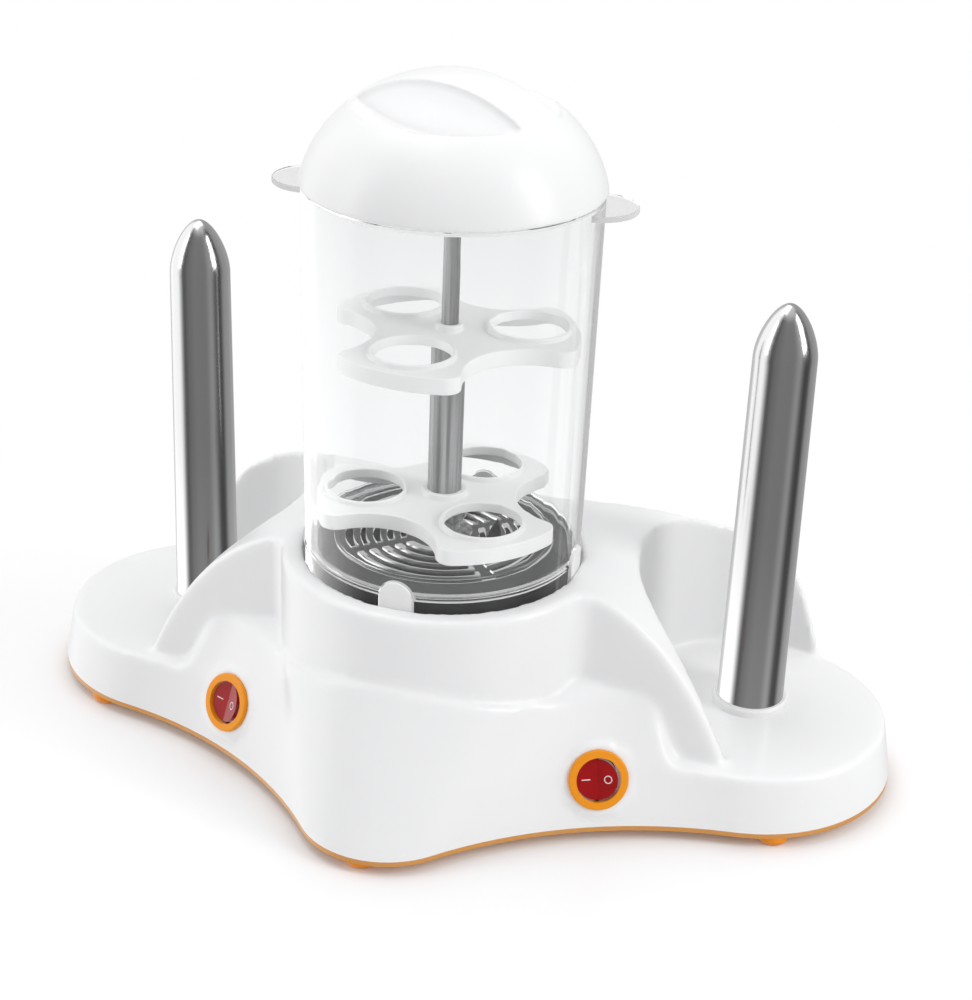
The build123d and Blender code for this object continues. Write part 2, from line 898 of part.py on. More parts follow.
def container_tube():
    """Clear tapered tube: a notched skirt, a ledge for the grate and two lifting ears."""
    ledge_low = grate_seat - tube_ledge_height
    inner_seat = tube_radius(grate_seat, tube_wall)
    bead_high = grate_seat + tube_bead_height
    tube = turned(
        [
            (tube_radius(container_bottom), container_bottom),
            (tube_radius(grate_seat), grate_seat),
            (tube_radius(grate_seat) + tube_bead, grate_seat + tube_bead),
            (tube_radius(bead_high) + tube_bead, bead_high - tube_bead),
            (tube_radius(bead_high), bead_high),
            (tube_radius(container_top), container_top),
            (tube_radius(container_top, tube_wall), container_top),
            (inner_seat, grate_seat),
            (inner_seat - tube_ledge, grate_seat),
            (inner_seat - tube_ledge, ledge_low),
            (tube_radius(ledge_low, tube_wall), ledge_low),
            (tube_radius(container_bottom, tube_wall), container_bottom),
        ]
    )
    half = lug_width / 2 + notch_gap
    reach = tube_radius_top + overrun
    shoulder = lug_top - lug_width / 2
    slot_height = shoulder - container_bottom + overrun
    block = Pos(0, -reach / 2, shoulder - slot_height / 2) * Box(2 * half, reach, slot_height)
    arch = Plane(origin=(0, -reach / 2, shoulder), z_dir=(0, 1, 0)) * Cylinder(half, reach)
    notch = block + arch - upright(well_radius - 2 * lug_thickness, 0, container_top)
    for turn in range(lug_count):
        tube -= Rot(0, 0, turn * 360 / lug_count) * notch
    for side in (-1, 1):
        tube += Rot(0, 0, ear_turn) * tube_ear(side)
    return tube


def tube_ear(side):
    """Flat round lifting ear just under the tube's top, on one side."""
    high = container_top - ear_drop
    plate = upright(ear_half_width, high - ear_thickness, high)
    plate = fillet(plate.edges().filter_by(GeomType.CIRCLE), ear_round)
    ear = Pos(side * (ear_reach - ear_half_width), 0, 0) * plate
    return ear - upright(tube_radius_top - tube_wall / 2, 0, container_top)


def container_grate():
    """Slotted floor of the container: rings of arc slots between cross bars."""
    plate = Circle(well_radius - lug_thickness - fit_gap)
    for step in range(grate_slot_count):
        inner = grate_slot_first + step * grate_slot_pitch
        plate -= Circle(inner + grate_slot_width) - Circle(inner) - grate_cross()
    floor = Pos(0, 0, grate_seat) * extrude(plate, grate_thickness)
    rim_low = grate_seat + grate_thickness
    rim = tube_radius_low - grate_rim_inset
    return floor + upright_ring(rim + grate_rim, rim, rim_low, rim_low + grate_rim)


def grate_cross():
    """Two crossed bars, turned so that they run between the lugs."""
    bar = Rectangle(2 * well_radius, grate_bar_width)
    return Rot(0, 0, 45) * bar + Rot(0, 0, -45) * bar


def tray_outline(inset=0.0):
    """Trefoil with a lobe round each egg and a hollow waist between lobes."""
    radius, waist = tray_radius - inset, tray_waist_radius + inset
    centre = tray_waist + tray_waist_radius
    gap = degrees(acos((centre**2 + radius**2 - waist**2) / (2 * centre * radius)))
    pitch = 360 / tray_seats
    half = pitch / 2 - gap

    def place(distance, angle):
        return Vector(distance * cos(radians(angle)), distance * sin(radians(angle)))

    edges = []
    for step in range(tray_seats):
        angle = step * pitch
        start, end = place(radius, angle - half), place(radius, angle + half)
        after = place(radius, angle + pitch - half)
        dip = place(centre - waist, angle + pitch / 2)
        edges.append(ThreePointArc(start, place(radius, angle), end))
        edges.append(ThreePointArc(end, dip, after))
    return fillet(make_face(edges).vertices(), tray_corner - inset)


def egg_tray(z, turn, bore):
    """Egg tray: a skirted trefoil with three open seats and a hub for the stem."""
    tray = extrude(tray_outline(), tray_height)
    tray -= extrude(tray_outline(tray_rim), tray_height - tray_skin)
    tray += upright(bore + tray_hub_wall, 0, tray_hub_height)
    places = []
    for step in range(tray_seats):
        angle = radians(step * 360 / tray_seats)
        places.append((seat_offset * cos(angle), seat_offset * sin(angle)))
    rib_radius = seat_hole_radius + seat_rib_width
    for x, y in places:
        tray += upright(rib_radius, tray_height - tray_skin, tray_height + seat_rib_height, x, y)
    for x, y in places:
        tray -= upright(seat_hole_radius, -overrun, tray_height + overrun, x, y)
    tray -= upright(bore + running_gap, -overrun, tray_hub_height + overrun)
    return Pos(0, 0, z) * Rot(0, 0, turn) * tray


def rack_stem():
    """Stem of the egg rack: a foot, a shoulder under each tray and a thin top."""
    low = grate_seat + grate_thickness + fit_gap
    return turned(
        [
            (0, low),
            (stem_foot_radius, low),
            (stem_foot_radius, low + stem_foot_height / 2),
            (stem_radius, low + stem_foot_height),
            (stem_radius, lower_tray_z - stem_shoulder),
            (stem_radius + tray_hub_wall, lower_tray_z - stem_shoulder),
            (stem_radius + tray_hub_wall, lower_tray_z),
            (stem_radius, lower_tray_z),
            (stem_radius, upper_tray_z),
            (stem_radius_top, upper_tray_z),
            (stem_radius_top, stem_top - stem_radius_top / 2),
            (stem_radius_top / 2, stem_top),
            (0, stem_top),
        ]
    )


lid_seat = container_top + fit_gap
right_angle = 90.0
bezier_arc_share = 4 / 3


def dome(inset, edge_radius, skirt_radius, low):
    """Shallow dome that starts at an edge, above a round skirt down to a level."""
    across, tall = dome_radius - inset, dome_height - inset
    start = acos(edge_radius / across)
    pull = bezier_arc_share * tan(radians(right_angle) / 4 - start / 4)
    foot = Vector(edge_radius, dome_centre_z + tall * sin(start))
    top = Vector(0, dome_centre_z + tall)
    rise = Vector(-across * sin(start), tall * cos(start)) * pull
    arc = Bezier(foot, foot + rise, top + Vector(across * pull, 0), top)
    corners = [top, Vector(0, low), Vector(skirt_radius, low)]
    if edge_radius > skirt_radius:
        corners.append(Vector(skirt_radius, foot.Y))
    corners.append(foot)
    lines = [Line(start, end) for start, end in zip(corners, corners[1:])]
    return revolve(Plane.XZ * make_face([arc] + lines), Axis.Z)


def scoops(inset=0.0):
    """The two finger scoops beside the bar handle, grown by a wall for the underside."""
    edge_z = dome_centre_z + dome_height * (1 - (scoop_radius / dome_radius) ** 2) ** 0.5
    radius, low, rim = scoop_radius + inset, edge_z - scoop_depth - inset, edge_z - inset
    high = dome_centre_z + dome_height + overrun
    middle = (radius * scoop_shares[0], low + scoop_depth * scoop_shares[1])
    floor = ThreePointArc((0, low), middle, (radius, rim))
    outline = make_face(
        [
            floor,
            Line((radius, rim), (radius, high)),
            Line((radius, high), (0, high)),
            Line((0, high), (0, low)),
        ]
    )
    bowl = revolve(Plane.XZ * outline, Axis.Z)
    bar = Box(2 * dome_radius, 2 * (handle_half_width - inset), 2 * dome_radius)
    return bowl - Pos(0, 0, high) * Rot(0, 0, handle_turn) * bar


def lid_shell():
    """Lid: a thin dome with two scoops beside its bar, and a short skirt in the tube."""
    share = (lid_seat - dome_centre_z) / dome_height
    edge = dome_radius * (1 - share**2) ** 0.5
    skirt = tube_radius(container_top, tube_wall) - fit_gap
    low = lid_seat - lid_skirt_depth
    inner = skirt - lid_skirt_wall
    solid = dome(0.0, edge, skirt, low)
    solid -= scoops()
    return solid - (dome(lid_wall, inner, inner, low - overrun) - scoops(lid_wall))


def cord_grommet():
    """Rubber grommet clamped in the notch of the back wall, where the cord comes in."""
    near, far = dip_y - 3 * wall, dip_y + grommet_flange
    block = grommet_block(0, near, dip_y, cover_top)
    block += grommet_block(grommet_lip, dip_y, far, cover_top)
    block += grommet_block(grommet_lip, near - grommet_back, near, cover_top)
    axis = Plane(origin=(0, (near + far) / 2, grommet_z), z_dir=(0, 1, 0))
    return block - axis * Cylinder(grommet_bore, far - near + 2 * overrun)


def terminal_block():
    """Block on the cover where the cord meets the inner wires."""
    z = cover_top + block_height / 2
    block_y = dip_y - block_inset
    block = Pos(0, block_y, z) * Box(block_length, block_width, block_height)
    pitch = block_length / block_ways
    for step in range(block_ways):
        x = (step - (block_ways - 1) / 2) * pitch
        top = cover_top + block_height
        block -= upright(block_pocket / 2, top - block_pocket, top + overrun, x, block_y)
    return block


def at_spike(shape, side):
    """Move a piece from the tower's axis to a spike's axis."""
    return Pos(side * lobe_x, spike_y, 0) * shape


def thermostat():
    """Snap thermostat under the middle of the pan."""
    top = well_floor + gasket_thickness
    can = upright(thermostat_radius, top - thermostat_height, top)
    tabs = Box(4 * thermostat_radius - 2 * blade_width, blade_width, blade_thickness)
    return can + Pos(0, 0, top - thermostat_height + blade_thickness) * tabs


def thermal_fuse():
    """Thermal fuse clamped under the pan."""
    z = well_floor + gasket_thickness - fuse_radius - running_gap
    axis = Plane(origin=(0, -fuse_offset, z), z_dir=(1, 0, 0))
    return axis * Cylinder(fuse_radius, fuse_length)


def pan_gasket():
    """Flat silicone ring between the pan and the well's floor."""
    return upright_ring(gasket_radius, gasket_bore, well_floor, well_floor + gasket_thickness)


def nodes():
    """Every piece under its own name."""
    pieces = {
        "housing_top": housing_shell(),
        "container_seat": container_seat(),
        "base_cover": base_cover(),
        "feet": feet(),
        "cover_screws": cover_screws(),
        "heating_dish": heating_dish(),
        "dish_gasket": pan_gasket(),
        "ring_heater": ring_heater(),
        "dish_thermostat": thermostat(),
        "thermal_fuse": thermal_fuse(),
        "heat_shield": heat_shield(),
        "container_tube": container_tube(),
        "container_grate": container_grate(),
        "lower_egg_tray": egg_tray(lower_tray_z, lower_tray_turn, stem_radius),
        "upper_egg_tray": egg_tray(upper_tray_z, upper_tray_turn, stem_radius_top),
        "rack_stem": rack_stem(),
        "lid": lid_shell(),
        "cord_grommet": cord_grommet(),
        "terminal_block": terminal_block(),
    }
    for name, side in (("left", -1), ("right", 1)):
        pieces[name + "_spike"] = at_spike(spike(), side)
        pieces[name + "_spike_heater"] = at_spike(spike_core(), side)
        pieces[name + "_spike_ring"] = at_spike(spike_ring(), side)
        pieces[name + "_spike_nut"] = at_spike(spike_nut(), side)
        pieces[name + "_switch_bezel"] = switch_plane(side) * switch_bezel()
        pieces[name + "_switch_body"] = switch_plane(side) * switch_body()
        pieces[name + "_rocker"] = switch_plane(side) * rocker()
    return pieces


def main():
    """Write each piece to its own file."""
    os.makedirs("parts", exist_ok=True)
    for name, shape in nodes().items():
        export_step(shape, "parts/" + name + ".step")


if __name__ == "__main__":
    main()
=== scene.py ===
"""Looks of a countertop hot dog spike machine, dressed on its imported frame.

+Z is up, the controls face -Y, and every length is in metres.
"""

import json
from math import atan2, cos, degrees, pi, radians, sin, sqrt

import bmesh
import bpy
from mathutils import Matrix, Vector

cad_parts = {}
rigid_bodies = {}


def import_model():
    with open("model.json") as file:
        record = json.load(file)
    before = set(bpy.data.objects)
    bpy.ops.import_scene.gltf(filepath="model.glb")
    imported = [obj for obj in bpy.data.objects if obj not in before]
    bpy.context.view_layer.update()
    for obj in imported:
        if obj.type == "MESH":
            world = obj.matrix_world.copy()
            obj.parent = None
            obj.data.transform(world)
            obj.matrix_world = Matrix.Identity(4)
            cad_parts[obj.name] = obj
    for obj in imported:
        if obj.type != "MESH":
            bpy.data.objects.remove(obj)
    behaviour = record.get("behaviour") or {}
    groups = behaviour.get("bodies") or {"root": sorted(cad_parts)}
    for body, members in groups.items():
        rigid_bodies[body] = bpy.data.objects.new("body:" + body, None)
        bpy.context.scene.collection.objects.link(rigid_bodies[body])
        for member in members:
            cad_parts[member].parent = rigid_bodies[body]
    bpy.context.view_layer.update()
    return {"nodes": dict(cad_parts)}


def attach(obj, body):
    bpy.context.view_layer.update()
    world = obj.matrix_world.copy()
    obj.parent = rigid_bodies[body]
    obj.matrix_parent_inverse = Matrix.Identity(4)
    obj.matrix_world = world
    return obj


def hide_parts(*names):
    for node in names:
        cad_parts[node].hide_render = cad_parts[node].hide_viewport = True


for thing in list(bpy.data.objects):
    bpy.data.objects.remove(thing)

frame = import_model()
scene = bpy.context.scene
scene.view_settings.view_transform = "Standard"


# ---------------------------------------------------------------- studio
# A pale table top that fades into the backdrop, one soft overhead box and two long
# side boxes, and the camera a little to the right of the object's front. Glossy rays
# see a room of pale and dark walls, set by bearing, in place of the white backdrop.
def add_object(name, data):
    made = bpy.data.objects.new(name, data)
    scene.collection.objects.link(made)
    return made


def new_material(name):
    made = bpy.data.materials.new(name)
    made.use_nodes = True
    return made, made.node_tree.nodes, made.node_tree.links


sheet_mesh = bmesh.new()
bmesh.ops.create_grid(sheet_mesh, x_segments=1, y_segments=1, size=4.0)
floor_data = bpy.data.meshes.new("table_top")
sheet_mesh.to_mesh(floor_data)
sheet_mesh.free()
table_top = add_object("table_top", floor_data)

paper, paper_nodes, paper_links = new_material("studio_paper")
paper_nodes["Principled BSDF"].inputs["Base Color"].default_value = (0.91, 0.91, 0.915, 1)
paper_nodes["Principled BSDF"].inputs["Roughness"].default_value = 0.35
glow = paper_nodes.new("ShaderNodeEmission")
glow.inputs["Color"].default_value = (1, 1, 1, 1)
rays = paper_nodes.new("ShaderNodeLightPath")
spot = paper_nodes.new("ShaderNodeTexCoord")
far = paper_nodes.new("ShaderNodeVectorMath")
far.operation = "LENGTH"
fade = paper_nodes.new("ShaderNodeMapRange")
fade.inputs["From Min"].default_value = 0.14
fade.inputs["From Max"].default_value = 0.36
fade.interpolation_type = "SMOOTHSTEP"
seen = paper_nodes.new("ShaderNodeMath")
seen.operation = "MULTIPLY"
blend = paper_nodes.new("ShaderNodeMixShader")
paper_links.new(spot.outputs["Object"], far.inputs[0])
paper_links.new(far.outputs["Value"], fade.inputs["Value"])
paper_links.new(fade.outputs["Result"], seen.inputs[0])
paper_links.new(rays.outputs["Is Camera Ray"], seen.inputs[1])
paper_links.new(seen.outputs["Value"], blend.inputs["Fac"])
paper_links.new(paper_nodes["Principled BSDF"].outputs["BSDF"], blend.inputs[1])
paper_links.new(glow.outputs["Emission"], blend.inputs[2])
paper_links.new(blend.outputs["Shader"], paper_nodes["Material Output"].inputs["Surface"])
floor_data.materials.append(paper)

world = bpy.data.worlds.new("studio_air")
scene.world = world
world.use_nodes = True
air_nodes, air_links = world.node_tree.nodes, world.node_tree.links
air_nodes.clear()
air_out = air_nodes.new("ShaderNodeOutputWorld")


def backdrop_light(strength, colour=(1, 1, 1, 1)):
    made = air_nodes.new("ShaderNodeBackground")
    made.inputs["Color"].default_value = colour
    made.inputs["Strength"].default_value = strength
    return made


soft_light = backdrop_light(0.77, (0.99, 0.993, 1.0, 1))
white_wall = backdrop_light(1.0)
room = backdrop_light(1.0)
air_rays = air_nodes.new("ShaderNodeLightPath")
shown = air_nodes.new("ShaderNodeMath")
shown.operation = "MAXIMUM"
wall_mix = air_nodes.new("ShaderNodeMixShader")
room_mix = air_nodes.new("ShaderNodeMixShader")
air_links.new(air_rays.outputs["Is Camera Ray"], shown.inputs[0])
air_links.new(air_rays.outputs["Is Transmission Ray"], shown.inputs[1])
air_links.new(shown.outputs["Value"], wall_mix.inputs["Fac"])
air_links.new(soft_light.outputs["Background"], wall_mix.inputs[1])
air_links.new(white_wall.outputs["Background"], wall_mix.inputs[2])
air_links.new(air_rays.outputs["Is Glossy Ray"], room_mix.inputs["Fac"])
air_links.new(wall_mix.outputs["Shader"], room_mix.inputs[1])
air_links.new(room.outputs["Background"], room_mix.inputs[2])
air_links.new(room_mix.outputs["Shader"], air_out.inputs["Surface"])

compass = air_nodes.new("ShaderNodeTexCoord")
parts = air_nodes.new("ShaderNodeSeparateXYZ")
bearing = air_nodes.new("ShaderNodeMath")
bearing.operation = "ARCTAN2"
front = air_nodes.new("ShaderNodeMath")
front.operation = "MULTIPLY"
front.inputs[1].default_value = -1.0
share = air_nodes.new("ShaderNodeMapRange")
share.inputs["From Min"].default_value = -pi
share.inputs["From Max"].default_value = pi
walls = air_nodes.new("ShaderNodeValToRGB")
walls.color_ramp.interpolation = "EASE"
bands = [
    (-180, 0.55),
    (-128, 0.8),
    (-116, 1.6),
    (-70, 1.6),
    (-42, 0.11),
    (-22, 0.24),
    (2, 0.29),
    (42, 0.28),
    (64, 0.44),
    (88, 0.09),
    (102, 0.08),
    (124, 0.44),
    (160, 0.52),
]
stops = walls.color_ramp.elements
while len(stops) < len(bands):
    stops.new(0.5)
for stop, (angle, level) in zip(stops, bands):
    stop.position = (angle + 180) / 360
    stop.color = (level, level, level, 1)
air_links.new(compass.outputs["Generated"], parts.inputs["Vector"])
air_links.new(parts.outputs["Y"], front.inputs[0])
air_links.new(parts.outputs["X"], bearing.inputs[0])
air_links.new(front.outputs["Value"], bearing.inputs[1])
air_links.new(bearing.outputs["Value"], share.inputs["Value"])
air_links.new(share.outputs["Result"], walls.inputs["Fac"])
ceiling = air_nodes.new("ShaderNodeMapRange")
ceiling.inputs["From Min"].default_value = 0.72
ceiling.inputs["From Max"].default_value = 0.95
ceiling.interpolation_type = "SMOOTHSTEP"
vault = air_nodes.new("ShaderNodeMix")
vault.data_type = "RGBA"
vault.inputs["B"].default_value = (0.85, 0.85, 0.85, 1)
air_links.new(parts.outputs["Z"], ceiling.inputs["Value"])
air_links.new(ceiling.outputs["Result"], vault.inputs["Factor"])
air_links.new(walls.outputs["Color"], vault.inputs["A"])
air_links.new(vault.outputs["Result"], room.inputs["Color"])
table_top.visible_glossy = False


def soft_box(name, place, aim, width, height, power):
    lamp = bpy.data.lights.new(name, "AREA")
    lamp.shape = "RECTANGLE"
    lamp.size, lamp.size_y = width, height
    lamp.energy = power
    made = add_object(name, lamp)
    made.location = place
    made.rotation_euler = (Vector(aim) - Vector(place)).to_track_quat("-Z", "Y").to_euler()


soft_box("overhead_box", (-0.22, 0.12, 1.15), (0, 0, 0.1), 0.9, 0.7, 4.2)
soft_box("left_box", (-1.1, -0.55, 0.55), (0, 0, 0.12), 0.25, 0.9, 1.7)
soft_box("right_box", (1.05, -0.08, 0.65), (0, 0, 0.12), 0.3, 0.9, 4.7)

camera_data = bpy.data.cameras.new("camera")
camera = add_object("camera", camera_data)
scene.camera = camera
turn, lift, tilt = radians(17.2), radians(25.58), radians(2.28)
back = Vector((sin(turn) * cos(lift), -cos(turn) * cos(lift), sin(lift)))
right = Vector((cos(turn), sin(turn), 0))
up = back.cross(right)
frame_right = right * cos(tilt) + up * sin(tilt)
frame_up = up * cos(tilt) - right * sin(tilt)
camera.matrix_world = Matrix.Translation((0.2283, -0.6833, 0.4574)) @ Matrix(
    (frame_right, frame_up, back)
).transposed().to_4x4()
camera_data.sensor_width = 36.0
camera_data.lens = 74.85


# ---------------------------------------------------------------- housing
# The top housing is one injection-moulded ABS shell with soft moulded edges.
# Its faces are lightly polished, with a very fine mould texture.
def set_finish(nodes, colour, roughness, **sockets):
    shader = nodes["Principled BSDF"]
    shader.inputs["Base Color"].default_value = (*colour, 1)
    shader.inputs["Roughness"].default_value = roughness
    for socket, value in sockets.items():
        shader.inputs[socket.replace("_", " ")].default_value = value
    return shader


def mottle(nodes, links, shader, scale, low, high, colour=None, spread=0.02):
    """Vary the gloss, and if asked the colour, in soft patches."""
    place = nodes.new("ShaderNodeTexCoord")
    patches = nodes.new("ShaderNodeTexNoise")
    patches.inputs["Scale"].default_value = scale
    patches.inputs["Detail"].default_value = 4.0
    gloss = nodes.new("ShaderNodeMapRange")
    gloss.inputs["To Min"].default_value = low
    gloss.inputs["To Max"].default_value = high
    links.new(place.outputs["Object"], patches.inputs["Vector"])
    links.new(patches.outputs["Fac"], gloss.inputs["Value"])
    links.new(gloss.outputs["Result"], shader.inputs["Roughness"])
    if colour:
        tint = nodes.new("ShaderNodeMix")
        tint.data_type = "RGBA"
        tint.inputs["A"].default_value = (*[c * (1 - spread) for c in colour], 1)
        tint.inputs["B"].default_value = (*[min(1, c * (1 + spread)) for c in colour], 1)
        links.new(patches.outputs["Fac"], tint.inputs["Factor"])
        links.new(tint.outputs["Result"], shader.inputs["Base Color"])


def grain(nodes, links, shader, scale, strength, distance):
    """Fine moulded or cast grain as a bump."""
    place = nodes.new("ShaderNodeTexCoord")
    specks = nodes.new("ShaderNodeTexNoise")
    specks.inputs["Scale"].default_value = scale
    specks.inputs["Detail"].default_value = 2.0
    bump = nodes.new("ShaderNodeBump")
    bump.inputs["Strength"].default_value = strength
    bump.inputs["Distance"].default_value = distance
    links.new(place.outputs["Object"], specks.inputs["Vector"])
    links.new(specks.outputs["Fac"], bump.inputs["Height"])
    links.new(bump.outputs["Normal"], shader.inputs["Normal"])


white_abs, nodes, links = new_material("white_abs")
white = (0.85, 0.852, 0.855)
shader = set_finish(nodes, white, 0.33, Specular_IOR_Level=0.5)
mottle(nodes, links, shader, 28.0, 0.285, 0.37, white, 0.012)
grain(nodes, links, shader, 260.0, 0.02, 0.0002)


def merged_copy(node):
    """A node's mesh with its loose triangles joined, as a bmesh."""
    work = bmesh.new()
    work.from_mesh(frame["nodes"][node].data)
    bmesh.ops.remove_doubles(work, verts=work.verts, dist=1e-6)
    return work


def finished(name, work, material):
    """A bmesh as an object of its own, smooth shaded."""
    data = bpy.data.meshes.new(name)
    for face in work.faces:
        face.smooth = True
    work.to_mesh(data)
    work.free()
    data.materials.append(material)
    return add_object(name, data)


def apply_modifiers(piece):
    """Replace a piece's mesh by what its modifiers make of it."""
    tree = bpy.context.evaluated_depsgraph_get()
    done = bpy.data.meshes.new_from_object(piece.evaluated_get(tree))
    piece.modifiers.clear()
    piece.data = done
    return piece


def spun(points, segments=96, close=False):
    """Solid of revolution about Z from an outline of radius and height."""
    work = bmesh.new()
    ring = [work.verts.new((r, 0, z)) for r, z in points]
    pairs = list(zip(ring, ring[1:]))
    if close:
        pairs.append((ring[-1], ring[0]))
    edges = [work.edges.new(pair) for pair in pairs]
    bmesh.ops.spin(
        work,
        geom=ring + edges,
        cent=(0, 0, 0),
        axis=(0, 0, 1),
        dvec=(0, 0, 0),
        angle=2 * pi,
        steps=segments,
        use_merge=True,
        use_duplicate=False,
    )
    bmesh.ops.remove_doubles(work, verts=work.verts, dist=1e-7)
    bmesh.ops.recalc_face_normals(work, faces=work.faces)
    return work


def joined(work, extra, place=Matrix()):
    """Add one bmesh to another, moved to its place."""
    bmesh.ops.transform(extra, matrix=place, verts=extra.verts)
    data = bpy.data.meshes.new("part")
    extra.to_mesh(data)
    extra.free()
    work.from_mesh(data)
    bpy.data.meshes.remove(data)


def cup(radius, wall, low, high):
    """A round pocket with a floor."""
    inner = radius - wall
    outline = [(0, low), (radius, low), (radius, high), (inner, high), (inner, low + wall)]
    return spun(outline + [(0, low + wall)])


def switch_frame(side):
    """Where a switch sits: X to the viewer's right along the wall, Z out of it."""
    along = Vector((0.89939, side * 0.43714, 0))
    out = Vector((side * 0.41078, -0.84515, 0.34202))
    turned = Matrix((along, out.cross(along), out)).transposed().to_4x4()
    return Matrix.Translation((side * 0.076, -0.0344, 0.024)) @ turned


def islands(work):
    """The separate groups of a bmesh's vertices."""
    left, found = set(work.verts), []
    for vertex in work.verts:
        if vertex in left:
            left.discard(vertex)
            group = [vertex]
            for reached in group:
                for edge in reached.link_edges:
                    other = edge.other_vert(reached)
                    if other in left:
                        left.discard(other)
                        group.append(other)
            found.append(group)
    return found


def widest_only(work):
    """Delete everything but the group that reaches furthest."""
    groups = islands(work)
    best = max(groups, key=lambda group: max(v.co.x for v in group))
    spare = [v for group in groups if group is not best for v in group]
    bmesh.ops.delete(work, geom=spare, context="VERTS")


def fin_crest(angle):
    """Height of the thin fin behind a bun, by its bearing from the spike."""
    table = [
        (65, 0.0260),
        (70, 0.0385),
        (74, 0.0480),
        (78, 0.0560),
        (82, 0.0625),
        (88, 0.0680),
        (96, 0.0725),
        (104, 0.0768),
        (114, 0.0805),
        (134, 0.0865),
        (150, 0.0900),
        (165, 0.0915),
    ]
    for (a, low), (b, high) in zip(table, table[1:]):
        if angle <= b:
            return low + (high - low) * max(0.0, angle - a) / (b - a)
    return table[-1][1]


spike_x, spike_y = 0.1191, 0.0381
hollow_level, hollow_sheet = 0.013, 0.0016
fin_inner, fin_outer, fin_start, fin_sweep = 0.0476, 0.0508, 65, 100
skin_voxel, skin_passes = 0.00146, 12
collar_hold, switch_hold, fin_hold = 0.5, 0.15, 0.4
rim_top = 0.0088

level = merged_copy("housing_top")
bmesh.ops.bisect_plane(
    level,
    geom=list(level.verts) + list(level.edges) + list(level.faces),
    plane_co=(0, 0, hollow_level),
    plane_no=(0, 0, 1),
    clear_outer=True,
    clear_inner=True,
)
notch_sides = [
    edge
    for edge in level.edges
    if all(abs(abs(v.co.x) - 0.007) < 1e-4 and v.co.y > 0.07 for v in edge.verts)
]
bmesh.ops.delete(level, geom=notch_sides, context="EDGES")
widest_only(level)
ends = [vertex for vertex in level.verts if len(vertex.link_edges) == 1]
if len(ends) == 2:
    level.edges.new(ends)
sheet = bmesh.ops.contextual_create(level, geom=list(level.edges))["faces"]
raised = bmesh.ops.extrude_face_region(level, geom=sheet, use_keep_orig=True)["geom"]
tops = [part for part in raised if isinstance(part, bmesh.types.BMVert)]
bmesh.ops.translate(level, vec=(0, 0, -hollow_sheet), verts=tops)
bmesh.ops.recalc_face_normals(level, faces=level.faces)

shell = merged_copy("housing_top")
joined(shell, level)
joined(shell, cup(0.0575, 0.0016, 0.048, 0.086))
for side in (-1, 1):
    joined(shell, cup(0.0125, 0.0024, -0.0118, -0.0012), switch_frame(side))
    stud = spun([(0, 0.024), (0.0105, 0.024), (0.0105, 0.0279), (0, 0.0279)])
    joined(shell, stud, Matrix.Translation((side * spike_x, spike_y, 0)))
    fin = bmesh.new()
    start = radians(fin_start)
    corners = [(fin_inner, 0.02), (fin_outer, 0.02), (fin_outer, 0.1), (fin_inner, 0.1)]
    ends = [fin.verts.new((r * cos(start), r * sin(start), z)) for r, z in corners]
    cap = [fin.faces.new(ends)]
    bmesh.ops.spin(
        fin,
        geom=cap,
        cent=(0, 0, 0),
        axis=(0, 0, 1),
        dvec=(0, 0, 0),
        angle=radians(fin_sweep),
        steps=50,
        use_merge=False,
        use_duplicate=False,
    )
    for vertex in fin.verts:
        if vertex.co.z > 0.09:
            vertex.co.z = fin_crest(degrees(atan2(vertex.co.y, vertex.co.x)))
    bmesh.ops.scale(fin, vec=(side, 1, 1), verts=fin.verts)
    bmesh.ops.recalc_face_normals(fin, faces=fin.faces)
    joined(shell, fin, Matrix.Translation((side * spike_x, spike_y, 0)))
pocket = bmesh.new()
bmesh.ops.create_cube(
    pocket, size=1.0, matrix=Matrix.LocRotScale((0, 0.074, 0.0176), None, (0.0204, 0.016, 0.0132))
)
mouth = [face for face in pocket.faces if face.normal.y > 0.5]
bmesh.ops.inset_region(pocket, faces=mouth, thickness=0.001)
bmesh.ops.translate(pocket, vec=(0, -0.012, 0), verts=mouth[0].verts)
joined(shell, pocket)

housing = finished("moulded_housing", shell, white_abs)
skin = housing.modifiers.new("skin", "REMESH")
skin.mode = "VOXEL"
skin.voxel_size = skin_voxel
skin.use_smooth_shade = True
apply_modifiers(housing)
outer = bmesh.new()
outer.from_mesh(housing.data)
widest_only(outer)
for face in outer.faces:
    face.smooth = True
outer.to_mesh(housing.data)
outer.free()
soft = housing.vertex_groups.new(name="soft")
switch_spots = [switch_frame(side).translation for side in (-1, 1)]
for vertex in housing.data.vertices:
    x, y, z = vertex.co
    weight = min(1.0, max(0.0, (z - 0.0072) / 0.008))
    if z > 0.048 and sqrt(x * x + y * y) < 0.066:
        weight *= collar_hold
    if min((vertex.co - spot).length for spot in switch_spots) < 0.017:
        weight *= switch_hold
    reach = sqrt((abs(x) - spike_x) ** 2 + (y - spike_y) ** 2)
    if z > 0.032 and y > 0.04 and 0.046 < reach < 0.0525:
        weight *= fin_hold
    soft.add([vertex.index], weight, "REPLACE")
ease = housing.modifiers.new("ease", "SMOOTH")
ease.factor = 0.5
ease.iterations = skin_passes
ease.vertex_group = "soft"
apply_modifiers(housing)
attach(housing, "base")
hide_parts("housing_top")

rim = merged_copy("housing_top")
bmesh.ops.bisect_plane(
    rim,
    geom=list(rim.verts) + list(rim.edges) + list(rim.faces),
    plane_co=(0, 0, rim_top),
    plane_no=(0, 0, 1),
    clear_outer=True,
)
widest_only(rim)
bmesh.ops.holes_fill(rim, edges=[edge for edge in rim.edges if edge.is_boundary])
lower_rim = finished("housing_lower_rim", rim, white_abs)
lower_rim.data.set_sharp_from_angle(angle=radians(40))
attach(lower_rim, "base")


